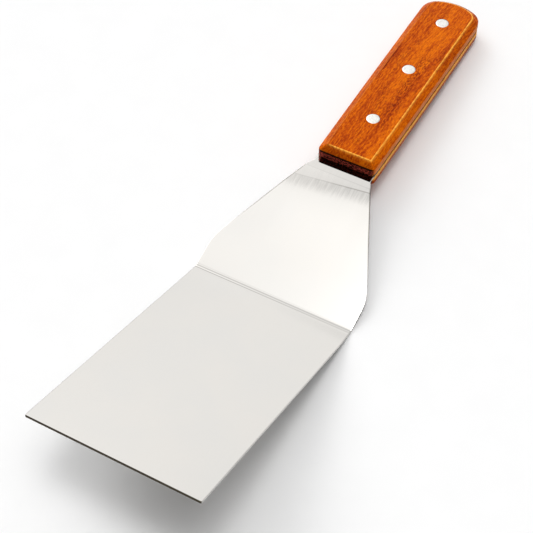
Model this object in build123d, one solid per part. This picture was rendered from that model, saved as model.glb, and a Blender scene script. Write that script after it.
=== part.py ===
from build123d import *
import math
import os

# Grill spatula (offset turner), in millimetres.
#
# One stainless sheet makes the blade, the rising neck and a full-length tang.
# Two wooden scales are held to the tang by three pairs of compression rivets.
#
# The spatula lies on a table as it does at rest: the heel of the blade and the
# butt of the handle touch z = 0, and the front of the blade stands clear.
# X is across the blade, +Y runs from the blade to the handle, and Z is up.
# The origin is on the table, under the middle of the spatula's bounding box.

# ------------------------------------------------------------- the steel sheet
SHEET_THICKNESS = 1.0

BLADE_WIDTH = 76.2
BLADE_LENGTH = 127.0            # from the front edge to the heel
BLADE_CORNER_RADIUS = 0.8

HEEL_ANGLE = 36.5               # the neck's rise above the blade
HEEL_TOP_RADIUS = 3.0

NECK_LENGTH = 64.5              # from the heel to the second fold
NECK_STRAIGHT = 15.8            # the length that is as wide as the blade
SHOULDER_RADIUS = 22.0
NECK_TOP_WIDTH = 32.4

TANG_ANGLE = 18.2               # the handle's rise above the blade
FOLD_TOP_RADIUS = 3.0
TANG_WIDTH = 28.2
TANG_SWELL_WIDTH = 28.25        # at the middle of the tang
TANG_TAPER = 4.2                # how far the neck's taper runs past the fold
TANG_BUTT_INSET = 0.6           # the tang stops this far inside the scales

NECK_CUT_START = 4.0            # the neck is trimmed from here, clear of the bend
CUT_REACH = 3.0                 # how far cuts go past the steel they cut

# --------------------------------------------------------- the wooden handle
HANDLE_FRONT = 6.9              # from the second fold to the scales
HANDLE_LENGTH = 123.0
HANDLE_FRONT_WIDTH = 28.4
HANDLE_SWELL_WIDTH = 29.3
HANDLE_BUTT_WIDTH = 29.6
HANDLE_BUTT_ARCH = 5.5
HANDLE_BUTT_CORNER = 9.0
HANDLE_FRONT_CORNER = 2.2

SCALE_THICKNESS = 6.3
BEVEL_WIDTH = 3.3
BEVEL_DEPTH = 2.35

# ------------------------------------------------------------------- rivets
RIVET_NAMES = ["front", "middle", "rear"]
RIVET_SPACING = 38.1
FIRST_RIVET = 27.7              # from the scales' front end
RIVET_HEAD_DIAMETER = 6.35
RIVET_HEAD_DEPTH = 1.5
RIVET_TUBE_DIAMETER = 4.0
RIVET_PIN_DIAMETER = 2.6
RIVET_END_GAP = 0.5             # the tube and the pin stop short by this much

# ------------------------------------------------------------ derived places
HANDLE_BUTT = HANDLE_FRONT + HANDLE_LENGTH
HANDLE_TOP = SCALE_THICKNESS
HANDLE_BOTTOM = -SHEET_THICKNESS - SCALE_THICKNESS


def slope_step(angle, distance):
    """The (y, z) step made by going a distance up a slope."""
    tilt = math.radians(angle)
    return Vector(distance * math.cos(tilt), distance * math.sin(tilt))


def slope_plane(angle, start):
    """A plane on a slope: local x is across, local y is uphill."""
    tilt = math.radians(angle)
    normal = (0, -math.sin(tilt), math.cos(tilt))
    return Plane(origin=(0, start.X, start.Y), x_dir=(1, 0, 0), z_dir=normal)


# The heel, where the top of the blade and the top of the neck would meet, is
# the working origin. Everything is built from it and laid down at the end.
HEEL = Vector(0, 0)
FOLD = slope_step(HEEL_ANGLE, NECK_LENGTH)
NECK_PLANE = slope_plane(HEEL_ANGLE, HEEL)
TANG_PLANE = slope_plane(TANG_ANGLE, FOLD)


def handle_point(along, height):
    """A (y, z) point of the handle's middle plane, measured from the fold."""
    return FOLD + slope_step(TANG_ANGLE, along) + slope_step(TANG_ANGLE + 90, height)


def upright_cylinder(diameter, low, high):
    """A cylinder on the local z axis between two heights."""
    return Pos(0, 0, (low + high) / 2) * Cylinder(diameter / 2, high - low)


# --------------------------------------------------------------- steel sheet
def sheet_side_view():
    """The sheet seen from its side: blade, neck and tang, with both bends."""
    blade_front = Vector(-BLADE_LENGTH, 0)
    tang_end = handle_point(HANDLE_BUTT, 0)
    down = Vector(0, -SHEET_THICKNESS)
    tang_down = slope_step(TANG_ANGLE - 90, SHEET_THICKNESS)
    heel_down = slope_step(
        HEEL_ANGLE / 2 - 90, SHEET_THICKNESS / math.cos(math.radians(HEEL_ANGLE / 2))
    )
    fold_turn = HEEL_ANGLE - TANG_ANGLE
    fold_down = slope_step(
        (HEEL_ANGLE + TANG_ANGLE) / 2 - 90,
        SHEET_THICKNESS / math.cos(math.radians(fold_turn / 2)),
    )
    bends = [
        (HEEL, HEEL_TOP_RADIUS),
        (HEEL + heel_down, HEEL_TOP_RADIUS + SHEET_THICKNESS),
        (FOLD, FOLD_TOP_RADIUS),
        (FOLD + fold_down, FOLD_TOP_RADIUS - SHEET_THICKNESS),
    ]
    outline = Polyline(
        blade_front,
        HEEL,
        FOLD,
        tang_end,
        tang_end + tang_down,
        FOLD + fold_down,
        HEEL + heel_down,
        blade_front + down,
        close=True,
    )
    view = make_face(outline)
    for corner, radius in bends:
        vertex = view.vertices().sort_by_distance((corner.X, corner.Y))[0]
        view = fillet(vertex, radius)
    return view


def handle_outline(front, front_width, swell_width, butt, butt_width):
    """A handle-shaped face: straight front, gently swelled sides, arched butt."""
    arch_start = butt - HANDLE_BUTT_ARCH
    swell = (front + butt) / 2
    half_front = front_width / 2
    half_butt = butt_width / 2
    right = ThreePointArc((half_front, front), (swell_width / 2, swell), (half_butt, arch_start))
    arch = ThreePointArc((half_butt, arch_start), (0, butt), (-half_butt, arch_start))
    left = ThreePointArc((-half_butt, arch_start), (-swell_width / 2, swell), (-half_front, front))
    nose = Line((-half_front, front), (half_front, front))
    face = make_face([right, arch, left, nose])
    butt_corners = face.vertices().group_by(Axis.Y)[-1]
    return fillet(butt_corners, HANDLE_BUTT_CORNER)


def neck_outline():
    """The neck from just behind the heel: full width, then tapering."""
    half_blade = BLADE_WIDTH / 2
    half_top = NECK_TOP_WIDTH / 2
    corners = [
        (-half_blade, NECK_CUT_START),
        (half_blade, NECK_CUT_START),
        (half_blade, NECK_STRAIGHT),
        (half_top, NECK_LENGTH),
        (-half_top, NECK_LENGTH),
        (-half_blade, NECK_STRAIGHT),
    ]
    face = make_face(Polyline(*corners, close=True))
    shoulders = face.vertices().group_by(Axis.Y)[1]
    return fillet(shoulders, SHOULDER_RADIUS)


def tang_outline():
    """The tang: the end of the neck's taper, then one width to the butt."""
    half_top = NECK_TOP_WIDTH / 2
    half_tang = TANG_WIDTH / 2
    taper = make_face(
        Polyline(
            (-half_top, 0),
            (half_top, 0),
            (half_tang, TANG_TAPER),
            (-half_tang, TANG_TAPER),
            close=True,
        )
    )
    butt = HANDLE_BUTT - TANG_BUTT_INSET
    bar = handle_outline(TANG_TAPER, TANG_WIDTH, TANG_SWELL_WIDTH, butt, TANG_WIDTH)
    return taper + bar


def trimmings(outline, start, end):
    """What is cut away beside an outline, between two distances along it."""
    strip = Pos(0, (start + end) / 2) * Rectangle(BLADE_WIDTH, end - start)
    return extrude(strip - outline, CUT_REACH, both=True)


def turner_blade():
    """The one-piece sheet: blade, neck and tang, with the rivet holes."""
    sheet = extrude(Plane.YZ * sheet_side_view(), BLADE_WIDTH / 2, both=True)
    front_corners = sheet.edges().filter_by(Axis.Z).group_by(Axis.Y)[0]
    sheet = fillet(front_corners, BLADE_CORNER_RADIUS)
    sheet -= NECK_PLANE * trimmings(neck_outline(), NECK_CUT_START, NECK_LENGTH)
    sheet -= TANG_PLANE * trimmings(tang_outline(), 0, HANDLE_BUTT + CUT_REACH)
    hole = upright_cylinder(RIVET_TUBE_DIAMETER, -CUT_REACH, CUT_REACH)
    for centre in rivet_centres():
        sheet -= TANG_PLANE * (centre * hole)
    return sheet


# -------------------------------------------------------------------- handle
def rivet_centres():
    """The rivets' places on the tang's top face."""
    first = HANDLE_FRONT + FIRST_RIVET
    return [Pos(0, first + i * RIVET_SPACING, 0) for i in range(len(RIVET_NAMES))]


def flat_scale():
    """One scale lying on z = 0 with its bevelled face up and its holes cut."""
    outline = handle_outline(
        HANDLE_FRONT, HANDLE_FRONT_WIDTH, HANDLE_SWELL_WIDTH, HANDLE_BUTT, HANDLE_BUTT_WIDTH
    )
    scale = extrude(outline, SCALE_THICKNESS)
    top = scale.faces().sort_by(Axis.Z)[-1]
    scale = chamfer(top.edges(), BEVEL_WIDTH, BEVEL_DEPTH, reference=top)
    front_corners = outline.vertices().group_by(Axis.Y)[0]
    scale &= extrude(fillet(front_corners, HANDLE_FRONT_CORNER), SCALE_THICKNESS)
    seat_floor = SCALE_THICKNESS - RIVET_HEAD_DEPTH
    head_seat = upright_cylinder(RIVET_HEAD_DIAMETER, seat_floor, SCALE_THICKNESS)
    hole = upright_cylinder(RIVET_TUBE_DIAMETER, -CUT_REACH, SCALE_THICKNESS)
    for centre in rivet_centres():
        scale -= centre * head_seat
        scale -= centre * hole
    return scale


def upper_handle_scale():
    return TANG_PLANE * flat_scale()


def lower_handle_scale():
    turned = mirror(flat_scale(), about=Plane.XY)
    return TANG_PLANE * (Pos(0, 0, -SHEET_THICKNESS) * turned)


# -------------------------------------------------------------------- rivets
def male_rivet(centre):
    """The upper half: a flat head, flush with the wood, and a solid pin."""
    head_low = HANDLE_TOP - RIVET_HEAD_DEPTH
    pin_low = HANDLE_BOTTOM + RIVET_HEAD_DEPTH + RIVET_END_GAP
    head = upright_cylinder(RIVET_HEAD_DIAMETER, head_low, HANDLE_TOP)
    pin = upright_cylinder(RIVET_PIN_DIAMETER, pin_low, head_low)
    return TANG_PLANE * (centre * (head + pin))


def female_rivet(centre):
    """The lower half: a flat head, and a tube that the pin is pressed into."""
    head_high = HANDLE_BOTTOM + RIVET_HEAD_DEPTH
    tube_high = HANDLE_TOP - RIVET_HEAD_DEPTH - RIVET_END_GAP
    head = upright_cylinder(RIVET_HEAD_DIAMETER, HANDLE_BOTTOM, head_high)
    tube = upright_cylinder(RIVET_TUBE_DIAMETER, head_high, tube_high)
    bore = upright_cylinder(RIVET_PIN_DIAMETER, head_high, tube_high)
    return TANG_PLANE * (centre * (head + tube - bore))


# ----------------------------------------------------------------- rest pose
def lying_down(pieces):
    """Turns the pieces until heel and butt share one level, and centres them."""
    bend_centre = Vector(
        -HEEL_TOP_RADIUS * math.tan(math.radians(HEEL_ANGLE / 2)), HEEL_TOP_RADIUS
    )
    heel_radius = HEEL_TOP_RADIUS + SHEET_THICKNESS
    butt_corner = handle_point(HANDLE_BUTT - BEVEL_WIDTH, HANDLE_BOTTOM)
    reach = butt_corner - bend_centre
    slope = math.atan2(reach.Y, reach.X) + math.asin(heel_radius / reach.length)
    level = Rot(-math.degrees(slope), 0, 0)
    levelled = [level * piece for piece in pieces]
    boxes = [piece.bounding_box() for piece in levelled]
    floor = min(box.min.Z for box in boxes)
    front = min(box.min.Y for box in boxes)
    back = max(box.max.Y for box in boxes)
    shift = Pos(0, -(front + back) / 2, -floor)
    return [shift * piece for piece in levelled]


def main():
    pieces = {
        "turner_blade": turner_blade(),
        "upper_handle_scale": upper_handle_scale(),
        "lower_handle_scale": lower_handle_scale(),
    }
    for name, centre in zip(RIVET_NAMES, rivet_centres()):
        pieces[f"{name}_rivet_male"] = male_rivet(centre)
        pieces[f"{name}_rivet_female"] = female_rivet(centre)
    os.makedirs("parts", exist_ok=True)
    for name, piece in zip(pieces, lying_down(pieces.values())):
        piece.label = name
        export_step(piece, f"parts/{name}.step")


main()
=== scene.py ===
import math

import bmesh
import bpy
from mathutils import Matrix, Vector, noise


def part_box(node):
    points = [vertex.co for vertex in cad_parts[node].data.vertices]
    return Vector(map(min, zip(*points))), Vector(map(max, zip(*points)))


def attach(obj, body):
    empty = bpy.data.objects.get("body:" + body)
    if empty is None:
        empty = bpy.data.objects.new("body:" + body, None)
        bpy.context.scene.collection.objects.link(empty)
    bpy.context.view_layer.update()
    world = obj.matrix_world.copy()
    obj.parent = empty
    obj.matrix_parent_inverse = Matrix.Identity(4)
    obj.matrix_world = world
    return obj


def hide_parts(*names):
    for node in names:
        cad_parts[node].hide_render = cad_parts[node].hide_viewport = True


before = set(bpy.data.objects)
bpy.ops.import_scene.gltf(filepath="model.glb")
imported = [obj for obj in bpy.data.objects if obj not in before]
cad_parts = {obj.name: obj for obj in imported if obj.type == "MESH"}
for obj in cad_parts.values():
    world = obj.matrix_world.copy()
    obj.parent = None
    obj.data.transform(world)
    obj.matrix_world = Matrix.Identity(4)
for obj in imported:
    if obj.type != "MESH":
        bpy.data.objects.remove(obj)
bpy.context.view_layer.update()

# The grill spatula's looks. Sizes are in millimetres and repeat the part's own;
# they become metres when a mesh is placed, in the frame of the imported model.
MM = 0.001

# ------------------------------------------------------------- the steel sheet
SHEET_THICKNESS = 1.0
BLADE_WIDTH = 76.2
BLADE_LENGTH = 127.0
BLADE_CORNER_RADIUS = 0.8
HEEL_ANGLE = 36.5
HEEL_TOP_RADIUS = 3.0
NECK_LENGTH = 64.5
NECK_STRAIGHT = 15.8
SHOULDER_RADIUS = 22.0
NECK_TOP_WIDTH = 32.4
TANG_ANGLE = 18.2
FOLD_TOP_RADIUS = 3.0
TANG_WIDTH = 28.2
TANG_TAPER = 4.2
TANG_BUTT_INSET = 0.6
SHEET_EDGE_RADIUS = 0.18        # sheared edges, eased on a belt
PRESS_LINE_DEPTH = 0.015        # the marks that the press tool left at the heel
PRESS_LINE_WIDTH = 0.6
HEEL_SAG = 0.7                  # how far the blade droops before the heel, at its right side
HEEL_SAG_LEFT = 0.15            # the share of that droop at its left side
HEEL_SAG_START = 7.5            # how far in front of the heel it droops most
NECK_CROWN = 0.34               # how far the neck swells before it dips to the fold
NECK_CROWN_PLACE = 9.0          # from the fold down to the swell's highest point
NECK_CROWN_LENGTH = 36.0        # from that point to where the neck is flat
NECK_CROWN_SKEW = 0.35          # the share that the swell gains at the left and loses at the right
SHEET_WAVE = 0.05               # how far the sheet is out of flat
SHEET_WAVELENGTH = 45.0
HEEL_STILL = 3.0                # how near the heel the waves have died out
HEEL_CALM = 12.0                # and how much further off they start to

# --------------------------------------------------------- the wooden handle
HANDLE_FRONT = 6.9
HANDLE_LENGTH = 123.0
HANDLE_FRONT_WIDTH = 28.4
HANDLE_SWELL_WIDTH = 29.3
HANDLE_BUTT_WIDTH = 29.6
HANDLE_BUTT_ARCH = 5.5
HANDLE_BUTT_CORNER = 9.0
HANDLE_FRONT_CORNER = 2.2
SCALE_THICKNESS = 6.3
BEVEL_WIDTH = 3.3
BEVEL_DEPTH = 2.35
FOOT_EDGE_RADIUS = 0.15         # the scales' edges against the tang
ARRIS_RADIUS = 0.55             # the sanded edges of the bevel
LEAST_CORNER = 0.35             # the smallest corner radius of the top face
FACE_MARGIN = 0.6               # from a face's rim to where its rounding starts
SANDING_WAVE = 0.05
SANDING_WAVELENGTH = 12.0
SANDING_SHIFTS = (0.0, 37.5, 71.5)     # far apart in the noise, so that the three directions differ

# -------------------------------------------------------------------- rivets
RIVET_NAMES = ["front", "middle", "rear"]
RIVET_SPACING = 38.1
FIRST_RIVET = 27.7
RIVET_HEAD_RADIUS = 3.175
RIVET_HEAD_DEPTH = 1.5
RIVET_TUBE_RADIUS = 2.0
RIVET_PIN_RADIUS = 1.3
RIVET_PIN_CHAMFER = 0.3
RIVET_END_GAP = 0.5
RIVET_EDGE_RADIUS = 0.22
RIVET_CROWN = 0.015             # how much the head's middle stands over its rim
RIVET_CLEARANCE = 0.04

# ------------------------------------------------------------ colours, linear
STEEL_COLOUR = (0.600, 0.587, 0.564, 1)
STEEL_WARM_COLOUR = (0.612, 0.594, 0.566, 1)
STEEL_SHADE = (0.06, 0.05, 0.036, 1)             # painted shade and dark reflections on the steel
ALUMINIUM_DULL = (0.62, 0.61, 0.58, 1)
ALUMINIUM_BRIGHT = (0.8, 0.79, 0.76, 1)
WOOD_LIGHT = (0.69, 0.152, 0.001, 1)
WOOD_MIDDLE = (0.475, 0.072, 0.0008, 1)
WOOD_DARK = (0.28, 0.028, 0.0006, 1)
WOOD_FLECK = (0.15, 0.009, 0.001, 1)
# the arrises' colour: worn varnish, lightened further as a painted highlight
WOOD_WORN_HIGHLIGHT = (0.98, 0.46, 0.065, 1)
# the sides' pale colour: painted light, with some rubbing
WOOD_SIDE_LIT = (0.72, 0.2, 0.02, 1)
VARNISH_TINT = (1.0, 0.45, 0.08, 1)
END_GRAIN_LIGHT = (0.52, 0.075, 0.05, 1)
END_GRAIN_DARK = (0.010, 0.003, 0.002, 1)
END_GRAIN_DIRT = (0.002, 0.001, 0.001, 1)
PAPER_DULL = (0.8, 0.8, 0.8, 1)
PAPER_BRIGHT = (0.83, 0.83, 0.83, 1)

# ------------------- grain sizes, in millimetres: across, along and upright
HAIRLINE_PITCH = (0.5, 60, 60)
STREAK_PITCH = (0.7, 9, 9)
CLOUD_PITCH = (30, 30, 30)
SCUFF_PITCH = (0.5, 0.9, 0.5)
DRIFT_PITCH = (14, 60, 14)
FIGURE_PITCH = (5.5, 60, 8)
GRAIN_PITCH = (0.9, 12, 0.9)
MOTTLE_PITCH = (0.65, 2.0, 0.65)
PATCH_PITCH = (7, 30, 9)
FLECK_PITCH = (0.55, 1.6, 0.55)
PORE_PITCH = (0.2, 3.2, 0.2)
END_DOT_PITCH = (0.9, 0.9, 0.5)
PAPER_GRAINS = 60.0                 # to the metre
NOISE_REACH = (0.3, 0.7)            # where nearly all of a noise's values lie

# --------------------------------------------------- brushing, polish and painted shade on the steel
PRESS_SHADE = [(-0.5, 0.36), (0.6, 0.3)]         # the marks' places from the heel, and their painted shade
PRESS_SHADE_FADE = (0.1, 0.38)                   # from a mark's middle to where its painted shade fades
PRESS_SHADE_RIGHT = 0.3                          # the share of the painted shade at the right
FOLD_MARK_PLACE = -3.4                          # from the fold, level, to a line of painted shade
FOLD_MARK_SLANT = 0.1                           # how much that line runs askew
FOLD_SHADE_FADE = (0.1, 0.4)
FOLD_SHADE_SIDES = (-12, 10)                     # it is faint at the left and clear at the right
FOLD_SHADE_DEPTHS = (0.08, 0.32)
STREAKS_BELOW_MARK = (-7.5, -1.5)               # from the mark, where the streaks gain strength
STREAKS_LOST_ABOVE_MARK = 0.75                  # the share of it that they lose above the mark
FAINT_STREAKS = (0.995, 1.0)                    # the darkest and the lightest streak's brightness
STRONG_STREAKS = (0.82, 0.95)
POLISH_REACH = 1.5                              # how far from the fold the tang's polish fades in
FRONT_EDGE = (0.4, 0.2)                         # from the front, where its painted dark edge fades in
NECK_RIM = (12, 34)                             # from the heel, where the neck's painted dark rim fades in
NECK_RIM_DEPTH = 0.85
SHADE_STRIP_START = (-3.3, -3.0)                      # from the handle's front, where the strip of painted shade before it starts
SHADE_STRIP_MIDDLE = 1.1                              # the strip's middle, across
SHADE_STRIP_REACH = 12.5                              # half its width
SHADE_STRIP_DEPTH = 0.93
SATIN_ROUGHNESS = (0.035, 0.065)
POLISHED_ROUGHNESS = 0.005

# ---------------------------------------------------- figure, wear, painted light and painted shade of the wood
GRAIN_SLANT = 3.0                               # degrees that the grain runs off the handle's line
GRAIN_DRIFT = 6.0                               # how far the grain wanders sideways
FIGURE_SHARES = (0.25, 0.35, 0.4)               # of figure, grain and mottle
TONE_STOPS = (0.40, 0.48, 0.59)                 # where the wood is dark, middling and light
FLECKS = [(4.5, 1.0, 3.5), (58.0, 22.0, 8.0)]   # middle, reach and softness, across and along
FLECK_DEPTH = 0.8
SPLIT = [(-10.3, 0.12, 0.25), (76.0, 7.0, 7.0)]
PORE_DEPTH = 0.6
PORE_RELIEF = 0.8
# painted shade and painted light on the scales' sides
SIDE_SHADE = 0.55
SIDE_LIGHT = 0.75
PALE_SIDE_DOWN_TO = -2.5                           # how low the lower scale's side is painted pale
PALE_SIDE_FADE = 0.8
END_DIRT_JAGS = 5.0                             # how jagged the lower limit of the front's dirt is
END_DIRT_LEVEL = (5.6, 6.2)                     # that limit's height, with the jags added
WORN_HIGHLIGHT_FROM = (-12, -6)                        # across, where the wear and painted highlight of the arrises fades in
LEFT_WORN_HIGHLIGHT = 0.1                            # the wear and painted highlight at the left of that
SEAM_HEIGHT = (0.4, 0.7)                        # how high the painted shade over the tang's edge reaches
SEAM_SHADE_DEPTH = 0.9
EDGE_FALL = 9.0                                 # how fast the arrises' wear and painted highlight, and the steel's painted dark edges, fade away from an arris
VARNISH_ROUGHNESS = (0.5, 0.36)
VARNISH_SPECULAR = 0.07

# --------------------------------------------------- camera and light, metres
CAMERA_AZIMUTH = 31.31
CAMERA_ELEVATION = 53.62
CAMERA_ROLL = -3.0
CAMERA_DISTANCE = 0.61518
CAMERA_AIM = (-0.010443, -0.022761, 0.0)
CAMERA_LENS = 94.535
FLOOR_REACH = 3.0
SURROUND = 0.22
GLOWS = [                       # azimuth from +X, elevation, tightness, brightness
    (0, 88, 100, 12.8),
    (0, 75, 30, 4.4),
    (90, 50, 20, 0.71),
    (100, 8, 12, 0.93),
    (120, 25, 20, 0.6),
    (120, 50, 25, 0.24),
    (150, 35, 20, 3.05),
    (165, 50, 20, 2.17),
    (170, 78, 60, 1.0),
]

# -------------------------------------------------------------- mesh fineness
COLUMNS = 37                    # points across the sheet and the scales
CORNER_POINTS = 7
ROW_PITCH = 3.0
BEND_STEPS = 10
ROUND_STEPS = 4
LATHE_SEGMENTS = 64
HEAD_RINGS = (0, 0.25, 0.5, 0.7)    # the rings of a rivet head's crown, in shares of its radius
CORNER_CLEARANCE = 1.0          # from the blade's round corners to its first straight row
MARK_CLEARANCE = 0.5            # from a press mark to the next row
DRILL_OVERRUN = 1.0             # how far a drill stands out of what it cuts
SMOOTH_ANGLE = 35               # degrees
WELD_DISTANCE = 0.000001        # metres

# the corners of a scale's profile, from its face down to the tang
FACE_ARRIS = 0
WALL_ARRIS = 1
FOOT_EDGE = 2

# ------------------------------------------------------------ derived places
HANDLE_BUTT = HANDLE_FRONT + HANDLE_LENGTH
HANDLE_BOTTOM = -SHEET_THICKNESS - SCALE_THICKNESS


def step(angle, distance):
    """The step made by going a distance up a slope, in the middle plane."""
    tilt = math.radians(angle)
    return Vector((0.0, distance * math.cos(tilt), distance * math.sin(tilt)))


FOLD = step(HEEL_ANGLE, NECK_LENGTH)
HANDLE_PLACE = (FOLD + step(TANG_ANGLE, HANDLE_FRONT)).y


def resting_slope():
    """The turn, in radians, that puts the heel and the butt on one level."""
    lead = HEEL_TOP_RADIUS * math.tan(math.radians(HEEL_ANGLE / 2))
    bend_centre = Vector((0.0, -lead, HEEL_TOP_RADIUS))
    butt_corner = (
        FOLD + step(TANG_ANGLE, HANDLE_BUTT - BEVEL_WIDTH) + step(TANG_ANGLE + 90, HANDLE_BOTTOM)
    )
    reach = butt_corner - bend_centre
    heel_radius = HEEL_TOP_RADIUS + SHEET_THICKNESS
    return math.atan2(reach.z, reach.y) + math.asin(heel_radius / reach.length)


def rest_placement():
    """From the working frame, with its origin at the heel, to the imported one."""
    turn = Matrix.Rotation(-resting_slope(), 4, "X")
    blade_low, blade_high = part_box("turner_blade")
    front_low = turn @ Vector((0.0, -BLADE_LENGTH, -SHEET_THICKNESS))
    front_high = turn @ Vector((0.0, -BLADE_LENGTH, 0.0))
    shift = Vector((0.0, blade_low.y / MM - front_low.y, blade_high.z / MM - front_high.z))
    return Matrix.Scale(MM, 4) @ Matrix.Translation(shift) @ turn


REST = rest_placement()
HANDLE = REST @ Matrix.Translation(FOLD) @ Matrix.Rotation(math.radians(TANG_ANGLE), 4, "X")


# ----------------------------------------------------------------- mesh tools
def spread(start, end, count):
    """Evenly spaced numbers, both ends included."""
    return [start + (end - start) * i / (count - 1) for i in range(count)]


def arc_points(centre, radius, start, end, count):
    """(x, y) points on an arc, with its angles in degrees."""
    turns = [math.radians(a) for a in spread(start, end, count)]
    return [(centre[0] + radius * math.cos(t), centre[1] + radius * math.sin(t)) for t in turns]


def rounded_profile(corners, radii):
    """An (inset, height) polyline whose inner corners are rounded."""
    profile = [corners[0]]
    for before, corner, after, radius in zip(corners, corners[1:], corners[2:], radii):
        here = Vector(corner)
        back = (Vector(before) - here).normalized()
        ahead = (Vector(after) - here).normalized()
        half_turn = back.angle(ahead) / 2
        centre = here + (back + ahead).normalized() * radius / math.sin(half_turn)
        first = here + back * radius / math.tan(half_turn)
        last = here + ahead * radius / math.tan(half_turn)
        sweep = (first - centre).angle_signed(last - centre)
        for i in range(ROUND_STEPS + 1):
            spoke = Matrix.Rotation(-sweep * i / ROUND_STEPS, 2) @ (first - centre)
            profile.append(tuple(centre + spoke))
    profile.append(corners[-1])
    return profile


def fill_rows(bm, rows):
    """Quads between neighbouring rows of vertices."""
    for near, far in zip(rows, rows[1:]):
        for i in range(len(near) - 1):
            bm.faces.new((near[i], near[i + 1], far[i + 1], far[i]))


def rim(rows):
    """The points round the outside of a grid, in order."""
    right = [row[-1] for row in rows[1:-1]]
    left = [row[0] for row in reversed(rows[1:-1])]
    return rows[0] + right + rows[-1][::-1] + left


def corner_levels(corner):
    """The places, in a rounded profile, of the points round one of its corners."""
    first = 1 + corner * (ROUND_STEPS + 1)
    return range(first, first + ROUND_STEPS + 1)


def closed_slab(grid, profile, marked_corners):
    """A slab between two gridded faces, whose side follows a profile of insets and heights.

    The vertices round the profile's marked corners have 1 in the mesh attribute edge_mark."""
    bm = bmesh.new()
    edge_mark = bm.verts.layers.float.new("edge_mark")
    first = [[bm.verts.new(p) for p in row] for row in grid(*profile[0])]
    last = [[bm.verts.new(p) for p in row] for row in grid(*profile[-1])]
    fill_rows(bm, first)
    fill_rows(bm, last)
    loops = [rim(first)]
    for level in profile[1:-1]:
        loops.append([bm.verts.new(p) for p in rim(grid(*level))])
    loops.append(rim(last))
    for upper, lower in zip(loops, loops[1:]):
        fill_rows(bm, [upper + upper[:1], lower + lower[:1]])
    for corner in marked_corners:
        for level in corner_levels(corner):
            for vertex in loops[level]:
                vertex[edge_mark] = 1.0
    bmesh.ops.recalc_face_normals(bm, faces=bm.faces)
    return bm


def lathe(profile, place):
    """A closed turned solid. The profile of radii and heights starts and ends on the axis."""
    bm = bmesh.new()
    rings = []
    for radius, height in profile[1:-1]:
        circle = arc_points((0, 0), radius, 0, 360, LATHE_SEGMENTS + 1)[:-1]
        rings.append([bm.verts.new(place @ Vector((x, y, height))) for x, y in circle])
    for upper, lower in zip(rings, rings[1:]):
        fill_rows(bm, [upper + upper[:1], lower + lower[:1]])
    for (_, height), ring in ((profile[0], rings[0]), (profile[-1], rings[-1])):
        pole = bm.verts.new(place @ Vector((0, 0, height)))
        for a, b in zip(ring, ring[1:] + ring[:1]):
            bm.faces.new((a, b, pole))
    bmesh.ops.recalc_face_normals(bm, faces=bm.faces)
    return bm


def smoothed(mesh):
    """A mesh made smooth, except at its sharp edges."""
    mesh.shade_smooth()
    mesh.set_sharp_from_angle(angle=math.radians(SMOOTH_ANGLE))
    return mesh


def finished_piece(name, bm):
    """A named object from a bmesh."""
    mesh = bpy.data.meshes.new(name)
    bm.to_mesh(mesh)
    bm.free()
    piece = bpy.data.objects.new(name, smoothed(mesh))
    bpy.context.scene.collection.objects.link(piece)
    return piece


def welded(mesh):
    """Joins the points of a mesh that a cut has left on top of each other."""
    bm = bmesh.new()
    bm.from_mesh(mesh)
    bmesh.ops.remove_doubles(bm, verts=bm.verts, dist=WELD_DISTANCE)
    bm.to_mesh(mesh)
    bm.free()
    return mesh


def drilled(piece, drills):
    """Cuts the drills out of a piece and removes them."""
    for drill in drills:
        cut = piece.modifiers.new("drill", "BOOLEAN")
        cut.operation = "DIFFERENCE"
        cut.solver = "EXACT"
        cut.object = drill
    depsgraph = bpy.context.evaluated_depsgraph_get()
    mesh = welded(bpy.data.meshes.new_from_object(piece.evaluated_get(depsgraph)))
    piece.modifiers.clear()
    piece.data = smoothed(mesh)
    mesh.name = piece.name
    for drill in drills:
        bpy.data.objects.remove(drill)
    return piece


# ------------------------------------------------------------ outlines across
def straight_row(half_width):
    """Points straight across, as (across, along) pairs."""
    return [(x, 0.0) for x in spread(-half_width, half_width, COLUMNS)]


def front_row(half_width, corner, inset):
    """Points along a straight front edge and round its two corners."""
    radius = max(corner - inset, LEAST_CORNER)
    centre = (half_width - inset - radius, inset + radius)
    right = arc_points(centre, radius, -90, 0, CORNER_POINTS)
    left = [(-x, y) for x, y in reversed(right)]
    middle = [(x, inset) for x in spread(-centre[0], centre[0], COLUMNS + 2 - 2 * CORNER_POINTS)]
    return left + middle[1:-1] + right


def butt_row(half_width, inset):
    """Points round an arched butt, measured from the arch's highest point."""
    arch_radius = (half_width**2 + HANDLE_BUTT_ARCH**2) / (2 * HANDLE_BUTT_ARCH)
    corner_x = half_width - HANDLE_BUTT_CORNER
    rise = math.sqrt((arch_radius - HANDLE_BUTT_CORNER) ** 2 - corner_x**2)
    meeting = math.degrees(math.atan2(rise, corner_x))
    corner = (corner_x, rise - arch_radius)
    right = arc_points(corner, HANDLE_BUTT_CORNER - inset, meeting, 0, CORNER_POINTS)
    left = [(-x, y) for x, y in reversed(right)]
    arch_points = COLUMNS + 2 - 2 * CORNER_POINTS
    arch = arc_points((0, -arch_radius), arch_radius - inset, 180 - meeting, meeting, arch_points)
    return left + arch[1:-1] + right


# --------------------------------------------------------------- steel sheet
def neck_half_width(distance):
    """Half the neck's width: as wide as the blade, a round shoulder, then a taper."""
    half_blade = BLADE_WIDTH / 2
    half_top = NECK_TOP_WIDTH / 2
    slant = math.atan((half_blade - half_top) / (NECK_LENGTH - NECK_STRAIGHT))
    lead = SHOULDER_RADIUS * math.tan(slant / 2)
    start = NECK_STRAIGHT - lead
    if distance < start:
        return half_blade
    if distance < NECK_STRAIGHT + lead * math.cos(slant):
        return half_blade - SHOULDER_RADIUS + math.sqrt(SHOULDER_RADIUS**2 - (distance - start) ** 2)
    return half_top + (NECK_LENGTH - distance) * math.tan(slant)


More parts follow.
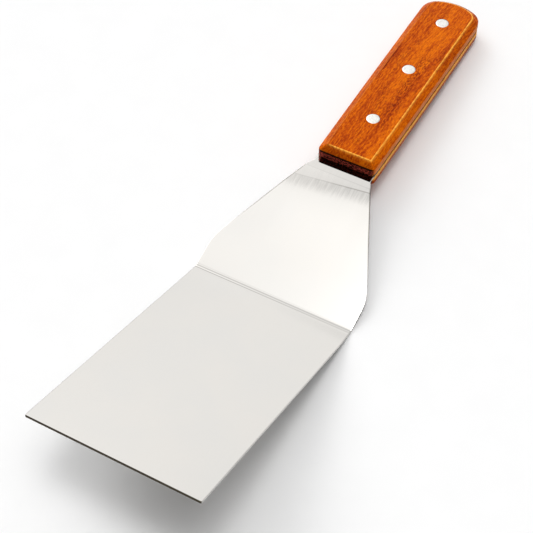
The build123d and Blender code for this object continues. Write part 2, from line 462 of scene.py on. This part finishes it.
def tang_half_width(distance):
    """Half the tang's width: the end of the neck's taper, then one width."""
    share = min(distance / TANG_TAPER, 1)
    return (NECK_TOP_WIDTH + (TANG_WIDTH - NECK_TOP_WIDTH) * share) / 2


def row_places(start, end):
    """Distances for rows of points between two places, both included."""
    return spread(start, end, max(2, round((end - start) / ROW_PITCH) + 1))


def press_line(middle):
    """(distance, depth) rows across one of the press tool's marks."""
    reach = PRESS_LINE_WIDTH / 2
    depths = [(-1, 0), (-0.5, 0.7), (0, 1), (0.5, 0.7), (1, 0)]
    return [(middle + share * reach, -depth * PRESS_LINE_DEPTH) for share, depth in depths]


def blade_stations(lead):
    """(slope, origin, half width, height) of the blade's rows behind its front corners."""
    mark = press_line(-lead - PRESS_LINE_WIDTH / 2)
    first = BLADE_CORNER_RADIUS + CORNER_CLEARANCE - BLADE_LENGTH
    rows = [(d, 0) for d in row_places(first, mark[0][0] - MARK_CLEARANCE)]
    return [(0, step(0, d), BLADE_WIDTH / 2, h) for d, h in rows + mark[:-1]]


def neck_stations(heel_lead, fold_lead):
    """The neck's rows, from the heel's bend to the fold's."""
    mark = press_line(heel_lead + PRESS_LINE_WIDTH / 2)
    first = mark[-1][0] + MARK_CLEARANCE
    rows = mark[1:] + [(d, 0) for d in row_places(first, NECK_LENGTH - fold_lead)]
    return [(HEEL_ANGLE, step(HEEL_ANGLE, d), neck_half_width(d), h) for d, h in rows]


def tang_stations(fold_lead):
    """The tang's rows, from the fold's bend to where the butt's corners start."""
    last = HANDLE_BUTT - TANG_BUTT_INSET - HANDLE_BUTT_CORNER - ROW_PITCH
    places = row_places(fold_lead, TANG_TAPER) + row_places(TANG_TAPER, last)[1:]
    return [(TANG_ANGLE, FOLD + step(TANG_ANGLE, d), tang_half_width(d), 0) for d in places]


def heel_stations(lead):
    """The rows round the heel's bend, which is hollow above."""
    centre = step(0, -lead) + step(90, HEEL_TOP_RADIUS)
    angles = spread(0, HEEL_ANGLE, BEND_STEPS + 1)
    return [(a, centre + step(a - 90, HEEL_TOP_RADIUS), BLADE_WIDTH / 2, 0) for a in angles]


def fold_stations(lead):
    """The rows round the fold's bend, which is round above."""
    centre = step(HEEL_ANGLE, NECK_LENGTH - lead) + step(HEEL_ANGLE - 90, FOLD_TOP_RADIUS)
    widths = spread(neck_half_width(NECK_LENGTH - lead), tang_half_width(lead), BEND_STEPS + 1)
    angles = spread(HEEL_ANGLE, TANG_ANGLE, BEND_STEPS + 1)
    return [(a, centre + step(a + 90, FOLD_TOP_RADIUS), w, 0) for a, w in zip(angles, widths)][1:-1]


def rolling_wave(x, place):
    """The sheet's slow waves, which die out at the heel that it stands on."""
    strength = min(max((abs(place.y) - HEEL_STILL) / HEEL_CALM, 0), 1)
    return strength * SHEET_WAVE * noise.noise(Vector((x, place.y, 0)) / SHEET_WAVELENGTH)


def neck_crown(x, place):
    """The neck's slight swell, which dips to nothing at the fold."""
    below_fold = (FOLD.y - place.y) / math.cos(math.radians(HEEL_ANGLE))
    if below_fold < 0:
        return 0.0
    side = min(max(2 * x / NECK_TOP_WIDTH, -1), 1)
    stretch = 1 - NECK_CROWN_SKEW * side
    crown_place = NECK_CROWN_PLACE * stretch
    if below_fold < crown_place:
        return NECK_CROWN * stretch * math.sin(below_fold / crown_place * math.pi / 2) ** 2
    share = min((below_fold - crown_place) / NECK_CROWN_LENGTH, 1)
    return NECK_CROWN * stretch * math.cos(share * math.pi / 2) ** 2


def heel_droop(x, place):
    """The blade's droop just in front of the heel, most of it at the right side."""
    before_sag = max(1 + place.y / HEEL_SAG_START, 0)
    beyond_sag = (BLADE_LENGTH + place.y) / (BLADE_LENGTH - HEEL_SAG_START)
    share = 1 - before_sag if before_sag else beyond_sag
    side = 0.5 + x / BLADE_WIDTH
    depth = HEEL_SAG * (HEEL_SAG_LEFT + (1 - HEEL_SAG_LEFT) * side)
    return -depth * math.sin(share * math.pi / 2) ** 2


def out_of_flat(x, place):
    """How far the sheet stands out of flat at a place."""
    if place.y > 0:
        return rolling_wave(x, place) + neck_crown(x, place)
    if place.y > -BLADE_LENGTH:
        return rolling_wave(x, place) + heel_droop(x, place)
    return rolling_wave(x, place)


def sheet_grid(inset, height):
    """Rows of points over the whole sheet, drawn in from its edge and moved off its top face."""
    heel_lead = HEEL_TOP_RADIUS * math.tan(math.radians(HEEL_ANGLE / 2))
    fold_lead = FOLD_TOP_RADIUS * math.tan(math.radians((HEEL_ANGLE - TANG_ANGLE) / 2))
    stations = blade_stations(heel_lead) + heel_stations(heel_lead)
    stations += neck_stations(heel_lead, fold_lead) + fold_stations(fold_lead)
    stations += tang_stations(fold_lead)
    front = front_row(BLADE_WIDTH / 2, BLADE_CORNER_RADIUS, inset)
    butt = butt_row(TANG_WIDTH / 2, inset)
    tang_end = FOLD + step(TANG_ANGLE, HANDLE_BUTT - TANG_BUTT_INSET)
    rows = [(0, step(0, -BLADE_LENGTH), 0, front)]
    rows += [(a, origin, h, straight_row(w - inset)) for a, origin, w, h in stations]
    rows += [(TANG_ANGLE, tang_end, 0, butt)]
    grid = []
    for slope, origin, mark, points in rows:
        line = []
        for x, along in points:
            place = origin + step(slope, along)
            lift = height + mark + out_of_flat(x, place)
            line.append(REST @ (Vector((x, 0, 0)) + place + step(slope + 90, lift)))
        grid.append(line)
    return grid


def steel_sheet():
    """The one-piece blade, neck and tang, with its edges eased and its holes drilled."""
    corners = [
        (FACE_MARGIN, 0),
        (0, 0),
        (0, -SHEET_THICKNESS),
        (FACE_MARGIN, -SHEET_THICKNESS),
    ]
    profile = rounded_profile(corners, [SHEET_EDGE_RADIUS] * 2)
    sheet = finished_piece("steel_sheet", closed_slab(sheet_grid, profile, marked_corners=[0, 1]))
    low = -SHEET_THICKNESS - DRILL_OVERRUN
    drill = [
        (0, DRILL_OVERRUN),
        (RIVET_TUBE_RADIUS, DRILL_OVERRUN),
        (RIVET_TUBE_RADIUS, low),
        (0, low),
    ]
    return drilled(sheet, [finished_piece("drill", lathe(drill, p)) for p in rivet_places()])


# -------------------------------------------------------------------- handle
def rivet_places():
    """The rivets' frames, on the tang's top face."""
    first = HANDLE_FRONT + FIRST_RIVET
    places = [first + i * RIVET_SPACING for i in range(len(RIVET_NAMES))]
    return [HANDLE @ Matrix.Translation((0, along, 0)) for along in places]


def handle_half_width(along):
    """Half the scales' width: a gentle swell from the front to the butt."""
    share = (along - HANDLE_FRONT) / (HANDLE_LENGTH - HANDLE_BUTT_ARCH)
    straight = HANDLE_FRONT_WIDTH + (HANDLE_BUTT_WIDTH - HANDLE_FRONT_WIDTH) * share
    swell = HANDLE_SWELL_WIDTH - (HANDLE_FRONT_WIDTH + HANDLE_BUTT_WIDTH) / 2
    return (straight + 4 * swell * share * (1 - share)) / 2


def sanded(x, along, height):
    """A point of a scale, a little uneven as hand sanding leaves it, but true at the tang."""
    point = Vector((x, along, height))
    place = point / SANDING_WAVELENGTH
    drift = Vector([noise.noise(place + Vector((0, 0, shift))) for shift in SANDING_SHIFTS])
    return point + drift * SANDING_WAVE * height / SCALE_THICKNESS


def scale_grid(inset, height):
    """Rows of points over a scale at one height, drawn in from its outline."""
    first = HANDLE_FRONT + BEVEL_WIDTH + 2 * FACE_MARGIN
    last = HANDLE_BUTT - HANDLE_BUTT_CORNER - ROW_PITCH
    front = front_row(HANDLE_FRONT_WIDTH / 2, HANDLE_FRONT_CORNER, inset)
    butt = butt_row(HANDLE_BUTT_WIDTH / 2, inset)
    rows = [[(x, HANDLE_FRONT + y) for x, y in front]]
    for along in row_places(first, last):
        rows.append([(x, along) for x, _ in straight_row(handle_half_width(along) - inset)])
    rows.append([(x, HANDLE_BUTT + y) for x, y in butt])
    return [[sanded(x, along, height) for x, along in row] for row in rows]


def wooden_scale(name, place, marked_corners):
    """A bevelled scale with rounded arrises and stepped holes for the rivets."""
    corners = [
        (BEVEL_WIDTH + FACE_MARGIN, SCALE_THICKNESS),
        (BEVEL_WIDTH, SCALE_THICKNESS),
        (0, SCALE_THICKNESS - BEVEL_DEPTH),
        (0, 0),
        (FACE_MARGIN, 0),
    ]
    profile = rounded_profile(corners, [ARRIS_RADIUS, ARRIS_RADIUS, FOOT_EDGE_RADIUS])
    bm = closed_slab(scale_grid, profile, marked_corners)
    bm.transform(place)
    bmesh.ops.recalc_face_normals(bm, faces=bm.faces)
    scale = finished_piece(name, bm)
    seat = SCALE_THICKNESS - RIVET_HEAD_DEPTH
    stepped_drill = [
        (0, SCALE_THICKNESS + DRILL_OVERRUN),
        (RIVET_HEAD_RADIUS, SCALE_THICKNESS + DRILL_OVERRUN),
        (RIVET_HEAD_RADIUS, seat),
        (RIVET_TUBE_RADIUS, seat),
        (RIVET_TUBE_RADIUS, -DRILL_OVERRUN),
        (0, -DRILL_OVERRUN),
    ]
    centres = [HANDLE.inverted() @ p for p in rivet_places()]
    return drilled(scale, [finished_piece("drill", lathe(stepped_drill, place @ c)) for c in centres])


# -------------------------------------------------------------------- rivets
def head_profile():
    """The crowned head, from its middle to its shank, measured down from the wood's face."""
    edge = RIVET_EDGE_RADIUS
    radius = RIVET_HEAD_RADIUS - RIVET_CLEARANCE
    crown = [(radius * share, -RIVET_CROWN * share**2) for share in HEAD_RINGS]
    outer = [(radius - edge, -RIVET_CROWN), (radius - edge / 3, -RIVET_CROWN - edge / 4)]
    outer += [(radius, -RIVET_CROWN - edge), (radius, -RIVET_HEAD_DEPTH)]
    return crown + outer


def male_rivet(name, place):
    """The upper half: a head and a solid pin."""
    pin_low = HANDLE_BOTTOM + RIVET_HEAD_DEPTH + RIVET_END_GAP
    pin_top = SCALE_THICKNESS - RIVET_HEAD_DEPTH
    radius = RIVET_PIN_RADIUS - RIVET_CLEARANCE
    profile = [(r, SCALE_THICKNESS + h) for r, h in head_profile()]
    profile += [(radius, pin_top), (radius, pin_low + RIVET_PIN_CHAMFER)]
    profile += [(radius - RIVET_PIN_CHAMFER, pin_low), (0, pin_low)]
    return finished_piece(name, lathe(profile, place))


def female_rivet(name, place):
    """The lower half: a head and a tube that takes the pin."""
    head_top = HANDLE_BOTTOM + RIVET_HEAD_DEPTH
    tube_top = SCALE_THICKNESS - RIVET_HEAD_DEPTH - RIVET_END_GAP
    tube = RIVET_TUBE_RADIUS - RIVET_CLEARANCE
    profile = [(r, HANDLE_BOTTOM - h) for r, h in head_profile()]
    profile += [(tube, head_top), (tube, tube_top), (RIVET_PIN_RADIUS, tube_top)]
    profile += [(RIVET_PIN_RADIUS, head_top), (0, head_top)]
    return finished_piece(name, lathe(profile, place))


# ----------------------------------------------------------- shader node tools
def add_node(tree, kind, values=(), settings=None, **named):
    """A shader node. Inputs are given by place or by name, as values or as sockets to link."""
    made = tree.nodes.new("ShaderNode" + kind)
    for key, value in (settings or {}).items():
        setattr(made, key, value)
    by_place = list(zip(made.inputs, values))
    by_name = [(made.inputs[key.replace("_", " ")], value) for key, value in named.items()]
    for socket, value in by_place + by_name:
        if isinstance(value, bpy.types.NodeSocket):
            tree.links.new(value, socket)
        else:
            socket.default_value = value
    return made


def new_material(name):
    """A node material, with its tree and its shader."""
    material = bpy.data.materials.new(name)
    material.use_nodes = True
    return material, material.node_tree, material.node_tree.nodes["Principled BSDF"]


def local_millimetres(tree, place):
    """The surface point in a part's own frame, in millimetres."""
    back = place.inverted()
    coordinates = add_node(tree, "TexCoord").outputs["Object"]
    return add_node(
        tree,
        "Mapping",
        Vector=coordinates,
        Location=back.to_translation(),
        Rotation=back.to_euler(),
        Scale=back.to_scale(),
    ).outputs["Vector"]


def coordinate(tree, point, axis):
    """One coordinate of a point."""
    return add_node(tree, "SeparateXYZ", Vector=point).outputs[axis]


def stretched_noise(tree, point, pitch, detail=3.0, roughness=0.5):
    """Noise whose grains have the given size, in millimetres, along each axis."""
    scaled = add_node(tree, "Mapping", Vector=point, Scale=[1 / p for p in pitch])
    return add_node(
        tree,
        "TexNoise",
        Vector=scaled.outputs["Vector"],
        Scale=1.0,
        Detail=detail,
        Roughness=roughness,
    ).outputs["Fac"]


def stepped(tree, value, low, high, bottom=0.0, top=1.0):
    """A value spread smoothly from one range to another."""
    return add_node(
        tree,
        "MapRange",
        (value, low, high, bottom, top),
        {"interpolation_type": "SMOOTHSTEP"},
    ).outputs["Result"]


def noise_between(tree, noise_value, bottom, top):
    """A noise spread out to run from one value to another."""
    return stepped(tree, noise_value, *NOISE_REACH, bottom, top)


def mathed(tree, operation, first, second=0.0):
    """The result of a math node."""
    return add_node(tree, "Math", (first, second), {"operation": operation}).outputs["Value"]


def product(tree, first, *others):
    """Shares multiplied together."""
    for other in others:
        first = mathed(tree, "MULTIPLY", first, other)
    return first


def total(tree, first, *others):
    """Values added together."""
    for other in others:
        first = mathed(tree, "ADD", first, other)
    return first


def distance_from(tree, value, middle):
    """How far a value is from another one."""
    return mathed(tree, "ABSOLUTE", mathed(tree, "SUBTRACT", value, middle))


def mixed(tree, factor, first, second, blend="MIX"):
    """The result of mixing two colours."""
    made = add_node(tree, "MixRGB", (factor, first, second), {"blend_type": blend})
    return made.outputs["Color"]


def edge_mark_share(tree, fall):
    """How near the mesh says that the surface is to its marked edges, fading away from them."""
    share = add_node(tree, "Attribute", settings={"attribute_name": "edge_mark"}).outputs["Fac"]
    return mathed(tree, "POWER", share, fall)


def along_share(tree, point, start, end):
    """Nought before one place along a part and one after another."""
    return stepped(tree, coordinate(tree, point, "Y"), start, end)


def window(tree, point, extent):
    """One inside a soft-edged rectangle of the handle's top, and nought outside."""
    share = 1.0
    for axis, (middle, reach, softness) in zip("XY", extent):
        away = distance_from(tree, coordinate(tree, point, axis), middle)
        share = product(tree, share, stepped(tree, away, reach, reach + softness, 1.0, 0.0))
    return share


def facing_share(tree, axis, low, high):
    """One on the handle's faces that look along one of its axes, and nought on the rest."""
    facing = add_node(tree, "TexCoord").outputs["Normal"]
    along = (HANDLE.to_3x3() @ Vector(axis)).normalized()
    dot = add_node(tree, "VectorMath", (facing, along), {"operation": "DOT_PRODUCT"})
    return stepped(tree, mathed(tree, "ABSOLUTE", dot.outputs["Value"]), low, high)


def add_bump(tree, shader, height, strength, distance):
    """Fine relief. The distance is in metres."""
    bump = add_node(tree, "Bump", Strength=strength, Distance=distance, Height=height)
    tree.links.new(bump.outputs["Normal"], shader.inputs["Normal"])


# ----------------------------------------------------------------------- steel
def streaked(tree, tone, point, past_mark):
    """Streaks of brushing, strong just below the mark at the fold and faint elsewhere."""
    bands = stretched_noise(tree, point, STREAK_PITCH)
    lost = stepped(tree, past_mark, -0.1, 0.1, 0.0, STREAKS_LOST_ABOVE_MARK)
    strength = mathed(tree, "SUBTRACT", stepped(tree, past_mark, *STREAKS_BELOW_MARK), lost)
    darkest, lightest = [
        stepped(tree, strength, 0, 1, faint, strong)
        for faint, strong in zip(FAINT_STREAKS, STRONG_STREAKS)
    ]
    brightness = noise_between(tree, bands, darkest, lightest)
    grey = add_node(tree, "CombineXYZ", (brightness,) * 3).outputs["Vector"]
    return mixed(tree, 1.0, tone, grey, "MULTIPLY")


def press_mark_shade_share(tree, point):
    """Painted shade in the press tool's two marks, most of all at the left."""
    share = 0.0
    for middle, depth in PRESS_SHADE:
        away = distance_from(tree, coordinate(tree, point, "Y"), middle)
        share = total(tree, share, stepped(tree, away, *PRESS_SHADE_FADE, depth, 0.0))
    half = BLADE_WIDTH / 2
    across = coordinate(tree, point, "X")
    return product(tree, share, stepped(tree, across, -half, half, 1.0, PRESS_SHADE_RIGHT))


def fold_shade_share(tree, point, past_mark):
    """A line of painted shade near the fold, clearest at the right."""
    across = coordinate(tree, point, "X")
    depth = stepped(tree, across, *FOLD_SHADE_SIDES, *FOLD_SHADE_DEPTHS)
    return stepped(tree, mathed(tree, "ABSOLUTE", past_mark), *FOLD_SHADE_FADE, depth, 0.0)


def dark_edge_share(tree, point):
    """The sheet's dark edges: a painted dark reflection on the blade's front one and painted shade on the
    tang's between the scales.
    """
    start, full = FRONT_EDGE
    front = along_share(tree, point, start - BLADE_LENGTH, full - BLADE_LENGTH)
    covered = along_share(tree, point, HANDLE_PLACE, HANDLE_PLACE + 1.0)
    return product(tree, edge_mark_share(tree, EDGE_FALL), total(tree, front, covered))


def neck_rim_share(tree, point, polish):
    """The neck's rim, darkened by a painted dark reflection, which ends where the polish starts."""
    neck = mathed(tree, "SUBTRACT", along_share(tree, point, *NECK_RIM), polish)
    return product(tree, edge_mark_share(tree, 1.0), neck, NECK_RIM_DEPTH)


def shade_strip_share(tree, point):
    """Painted shade and a painted dark reflection: the dark strip on the steel just before the handle, and
    all that the handle covers.
    """
    off_middle = distance_from(tree, coordinate(tree, point, "X"), SHADE_STRIP_MIDDLE)
    inside = stepped(tree, off_middle, SHADE_STRIP_REACH, SHADE_STRIP_REACH + 0.5, SHADE_STRIP_DEPTH, 0.0)
    start, full = SHADE_STRIP_START
    return product(tree, along_share(tree, point, HANDLE_PLACE + start, HANDLE_PLACE + full), inside)


def brushed_steel():
    """Stainless sheet: satin, streaked near the fold, polished at the tang, with painted shade in its
    marks, at its edges and before the handle.
    """
    material, tree, shader = new_material("brushed_steel")
    point = local_millimetres(tree, REST)
    hairlines = stretched_noise(tree, point, HAIRLINE_PITCH, detail=2)
    clouds = stretched_noise(tree, point, CLOUD_PITCH, detail=2)
    polish = along_share(tree, point, FOLD.y - POLISH_REACH, FOLD.y + POLISH_REACH)
    slant = product(tree, coordinate(tree, point, "X"), FOLD_MARK_SLANT)
    mark_line = total(tree, slant, FOLD.y + FOLD_MARK_PLACE)
    past_mark = mathed(tree, "SUBTRACT", coordinate(tree, point, "Y"), mark_line)
    tone = mixed(tree, noise_between(tree, clouds, 0, 1), STEEL_COLOUR, STEEL_WARM_COLOUR)
    tone = streaked(tree, tone, point, past_mark)
    dark_shares = [
        press_mark_shade_share(tree, point),
        fold_shade_share(tree, point, past_mark),
        neck_rim_share(tree, point, polish),
        shade_strip_share(tree, point),
        dark_edge_share(tree, point),
    ]
    # the shares paint shade and dark reflections onto the steel
    for share in dark_shares:
        tone = mixed(tree, share, tone, STEEL_SHADE)
    tree.links.new(tone, shader.inputs["Base Color"])
    satin = noise_between(tree, hairlines, *SATIN_ROUGHNESS)
    rough = stepped(tree, polish, 0.0, 1.0, satin, POLISHED_ROUGHNESS)
    tree.links.new(rough, shader.inputs["Roughness"])
    add_bump(tree, shader, hairlines, strength=0.12, distance=0.000004)
    shader.inputs["Metallic"].default_value = 1.0
    return material


def rivet_aluminium():
    """Aluminium with fine scuffs, duller and rougher in spots."""
    material, tree, shader = new_material("rivet_aluminium")
    point = local_millimetres(tree, HANDLE)
    scuffs = stretched_noise(tree, point, SCUFF_PITCH, detail=4, roughness=0.6)
    tone = mixed(tree, stepped(tree, scuffs, 0.35, 0.65), ALUMINIUM_DULL, ALUMINIUM_BRIGHT)
    tree.links.new(tone, shader.inputs["Base Color"])
    tree.links.new(noise_between(tree, scuffs, 0.38, 0.26), shader.inputs["Roughness"])
    add_bump(tree, shader, scuffs, strength=0.3, distance=0.00002)
    shader.inputs["Metallic"].default_value = 1.0
    return material


# ------------------------------------------------------------------------ wood
def grain_point(tree, point):
    """The point in the grain's own frame, which is askew in the handle and wanders."""
    slant = add_node(tree, "Mapping", Vector=point, Rotation=(0, 0, math.radians(GRAIN_SLANT)))
    drift = stretched_noise(tree, point, DRIFT_PITCH, detail=1)
    wander = add_node(tree, "CombineXYZ", X=product(tree, drift, GRAIN_DRIFT))
    shifted = add_node(tree, "VectorMath", (slant.outputs["Vector"], wander.outputs["Vector"]))
    return shifted.outputs["Vector"]


def figured_tone(tree, figure, grain, mottle):
    """The wood's main colour, from dark through middling to light."""
    noises = zip((figure, grain, mottle), FIGURE_SHARES)
    ramp = add_node(tree, "ValToRGB", Fac=total(tree, *[product(tree, n, s) for n, s in noises]))
    dark, middle, light = TONE_STOPS
    stops = ramp.color_ramp.elements
    stops[0].position = dark
    stops[0].color = WOOD_DARK
    stops[1].position = light
    stops[1].color = WOOD_LIGHT
    stops.new(middle).color = WOOD_MIDDLE
    return ramp.outputs["Color"]


def fleck_share(tree, point, along):
    """Dark flecks, thick in one cluster and thin in a few patches."""
    patches = stretched_noise(tree, along, PATCH_PITCH, detail=2)
    flecks = stretched_noise(tree, along, FLECK_PITCH, detail=2)
    sparse = stepped(tree, patches, 0.55, 0.65, 0.0, 0.6)
    patchy = mathed(tree, "MAXIMUM", sparse, window(tree, point, FLECKS))
    return product(tree, stepped(tree, flecks, 0.5, 0.58), patchy, FLECK_DEPTH)


def split_share(tree, point, mottle):
    """A fine wavering split beside the left arris."""
    waver = add_node(tree, "CombineXYZ", X=mottle).outputs["Vector"]
    wavering = add_node(tree, "VectorMath", (point, waver)).outputs["Vector"]
    return window(tree, wavering, SPLIT)


def pale_height_share(tree, point):
    """One down to where the lower scale's side is painted pale, and nought below."""
    height = coordinate(tree, point, "Z")
    return stepped(tree, height, PALE_SIDE_DOWN_TO - PALE_SIDE_FADE, PALE_SIDE_DOWN_TO)


def with_side_light_and_shade(tree, tone, point):
    """The scales' sides: darker than the top with painted shade, and paler above the lower scale's lowest
    part with painted light and some rubbing.
    """
    side = facing_share(tree, (1, 0, 0), 0.8, 0.98)
    tone = mixed(tree, product(tree, side, SIDE_SHADE), tone, WOOD_DARK)
    pale = product(tree, side, pale_height_share(tree, point), SIDE_LIGHT)
    return mixed(tree, pale, tone, WOOD_SIDE_LIT)


def with_end_grain(tree, tone, point):
    """The scales' ends: dark dotted end grain, with dirt running down from the bevel."""
    dots = stretched_noise(tree, point, END_DOT_PITCH, roughness=0.65)
    end_tone = mixed(tree, stepped(tree, dots, 0.46, 0.58), END_GRAIN_DARK, END_GRAIN_LIGHT)
    jagged = total(tree, coordinate(tree, point, "Z"), product(tree, dots, END_DIRT_JAGS))
    end_tone = mixed(tree, stepped(tree, jagged, *END_DIRT_LEVEL), end_tone, END_GRAIN_DIRT)
    return mixed(tree, facing_share(tree, (0, 1, 0), 0.35, 0.95), tone, end_tone)


def worn_highlight_share(tree, point, mottle):
    """The arrises, worn and lit by a painted highlight, patchy, and hardly so at the left and at the ends.
    """
    off_the_end = mathed(tree, "SUBTRACT", 1.0, facing_share(tree, (0, 1, 0), 0.6, 0.9))
    across_fade = stepped(tree, coordinate(tree, point, "X"), *WORN_HIGHLIGHT_FROM, LEFT_WORN_HIGHLIGHT, 1.0)
    patchy = stepped(tree, mottle, 0.35, 0.6, 0.45, 1.0)
    low = pale_height_share(tree, point)
    return product(tree, edge_mark_share(tree, EDGE_FALL), patchy, across_fade, off_the_end, low)


def seam_shade_share(tree, point):
    """Painted shade in the seam, on the upper scale's side just over the tang."""
    height = coordinate(tree, point, "Z")
    low = stepped(tree, height, *SEAM_HEIGHT, SEAM_SHADE_DEPTH, 0.0)
    above_tang = stepped(tree, height, -0.9, -0.5)
    return product(tree, low, above_tang, facing_share(tree, (1, 0, 0), 0.6, 0.9))


def varnished_wood():
    """Reddish hardwood under a clear varnish, its grain running along the handle."""
    material, tree, shader = new_material("varnished_wood")
    point = local_millimetres(tree, HANDLE)
    along = grain_point(tree, point)
    figure = stretched_noise(tree, along, FIGURE_PITCH, roughness=0.55)
    grain = stretched_noise(tree, along, GRAIN_PITCH, detail=5, roughness=0.62)
    mottle = stretched_noise(tree, along, MOTTLE_PITCH, detail=4, roughness=0.6)
    pores = stepped(tree, stretched_noise(tree, along, PORE_PITCH, detail=1), 0.62, 0.7)
    tone = figured_tone(tree, figure, grain, mottle)
    tone = mixed(tree, fleck_share(tree, point, along), tone, WOOD_FLECK)
    tone = mixed(tree, split_share(tree, point, mottle), tone, WOOD_FLECK)
    tone = mixed(tree, product(tree, pores, PORE_DEPTH), tone, WOOD_FLECK)
    # painted shade and painted light on the scales' sides
    tone = with_side_light_and_shade(tree, tone, point)
    tone = with_end_grain(tree, tone, point)
    # wear and a painted highlight on the arrises
    tone = mixed(tree, worn_highlight_share(tree, point, mottle), tone, WOOD_WORN_HIGHLIGHT)
    # painted shade in the seam over the tang
    tone = mixed(tree, seam_shade_share(tree, point), tone, END_GRAIN_DARK)
    tree.links.new(tone, shader.inputs["Base Color"])
    tree.links.new(noise_between(tree, grain, *VARNISH_ROUGHNESS), shader.inputs["Roughness"])
    relief = mathed(tree, "SUBTRACT", grain, product(tree, pores, PORE_RELIEF))
    add_bump(tree, shader, relief, strength=0.35, distance=0.00006)
    shader.inputs["Specular IOR Level"].default_value = VARNISH_SPECULAR
    shader.inputs["Specular Tint"].default_value = VARNISH_TINT
    return material


def floor_paper():
    """Matt white paper, faintly uneven."""
    material, tree, shader = new_material("floor_paper")
    coordinates = add_node(tree, "TexCoord").outputs["Object"]
    mottle = add_node(tree, "TexNoise", Vector=coordinates, Scale=PAPER_GRAINS, Detail=4.0)
    tone = mixed(tree, mottle.outputs["Fac"], PAPER_DULL, PAPER_BRIGHT)
    tree.links.new(tone, shader.inputs["Base Color"])
    shader.inputs["Roughness"].default_value = 0.9
    shader.inputs["Specular IOR Level"].default_value = 0.1
    return material


# ------------------------------------------------------------ floor and light
def lay_floor():
    """A pale level floor under the object."""
    bm = bmesh.new()
    bmesh.ops.create_grid(bm, x_segments=8, y_segments=8, size=FLOOR_REACH)
    floor = finished_piece("floor", bm)
    floor.data.materials.append(floor_paper())


def light_the_scene():
    """An even surround with a few wide soft glows, as large diffusers give."""
    world = bpy.data.worlds.new("studio")
    world.use_nodes = True
    tree = world.node_tree
    direction = add_node(tree, "TexCoord").outputs["Generated"]
    brightness = SURROUND
    for azimuth, elevation, tightness, strength in GLOWS:
        turn = math.radians(azimuth)
        rise = math.radians(elevation)
        middle = (math.cos(turn) * math.cos(rise), math.sin(turn) * math.cos(rise), math.sin(rise))
        dot = add_node(tree, "VectorMath", (direction, middle), {"operation": "DOT_PRODUCT"})
        fall = product(tree, mathed(tree, "SUBTRACT", dot.outputs["Value"], 1.0), tightness)
        glow = product(tree, mathed(tree, "EXPONENT", fall), strength)
        brightness = total(tree, brightness, glow)
    tree.links.new(brightness, tree.nodes["Background"].inputs["Strength"])
    tree.nodes["Background"].inputs["Color"].default_value = (1, 1, 1, 1)
    bpy.context.scene.world = world


def place_camera():
    """The camera, from its direction round the object, its roll and its distance."""
    turn = math.radians(CAMERA_AZIMUTH)
    rise = math.radians(CAMERA_ELEVATION)
    back = Vector(
        (math.sin(turn) * math.cos(rise), -math.cos(turn) * math.cos(rise), math.sin(rise))
    )
    level = Vector((0, 0, 1)).cross(back).normalized()
    right = Matrix.Rotation(math.radians(CAMERA_ROLL), 3, back) @ level
    up = back.cross(right)
    camera = bpy.data.objects.new("camera", bpy.data.cameras.new("camera"))
    camera.data.lens = CAMERA_LENS
    camera.data.clip_end = 10
    facing = Matrix((right, up, back)).transposed().to_4x4()
    camera.matrix_world = Matrix.Translation(Vector(CAMERA_AIM) + back * CAMERA_DISTANCE) @ facing
    bpy.context.scene.collection.objects.link(camera)
    bpy.context.scene.camera = camera


# ------------------------------------------------------------------ assembly
def hand_over(piece, node, material):
    """Puts a piece in its CAD node's place."""
    piece.data.materials.clear()
    piece.data.materials.append(material)
    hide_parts(node)
    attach(piece, "root")


def build_spatula():
    """All nine pieces, each in its CAD node's place."""
    steel = brushed_steel()
    wood = varnished_wood()
    aluminium = rivet_aluminium()
    mirrored = Matrix.Scale(-1, 4, (0, 0, 1))
    underside = HANDLE @ Matrix.Translation((0, 0, -SHEET_THICKNESS)) @ mirrored
    hand_over(steel_sheet(), "turner_blade", steel)
    upper_scale = wooden_scale("upper_scale", HANDLE, marked_corners=[FACE_ARRIS, FOOT_EDGE])
    lower_scale = wooden_scale("lower_scale", underside, marked_corners=[WALL_ARRIS, FOOT_EDGE])
    hand_over(upper_scale, "upper_handle_scale", wood)
    hand_over(lower_scale, "lower_handle_scale", wood)
    for name, place in zip(RIVET_NAMES, rivet_places()):
        head = male_rivet(f"{name}_rivet_head", place)
        socket = female_rivet(f"{name}_rivet_socket", place)
        hand_over(head, f"{name}_rivet_male", aluminium)
        hand_over(socket, f"{name}_rivet_female", aluminium)


bpy.context.scene.view_settings.view_transform = "Standard"
place_camera()
lay_floor()
light_the_scene()
build_spatula()
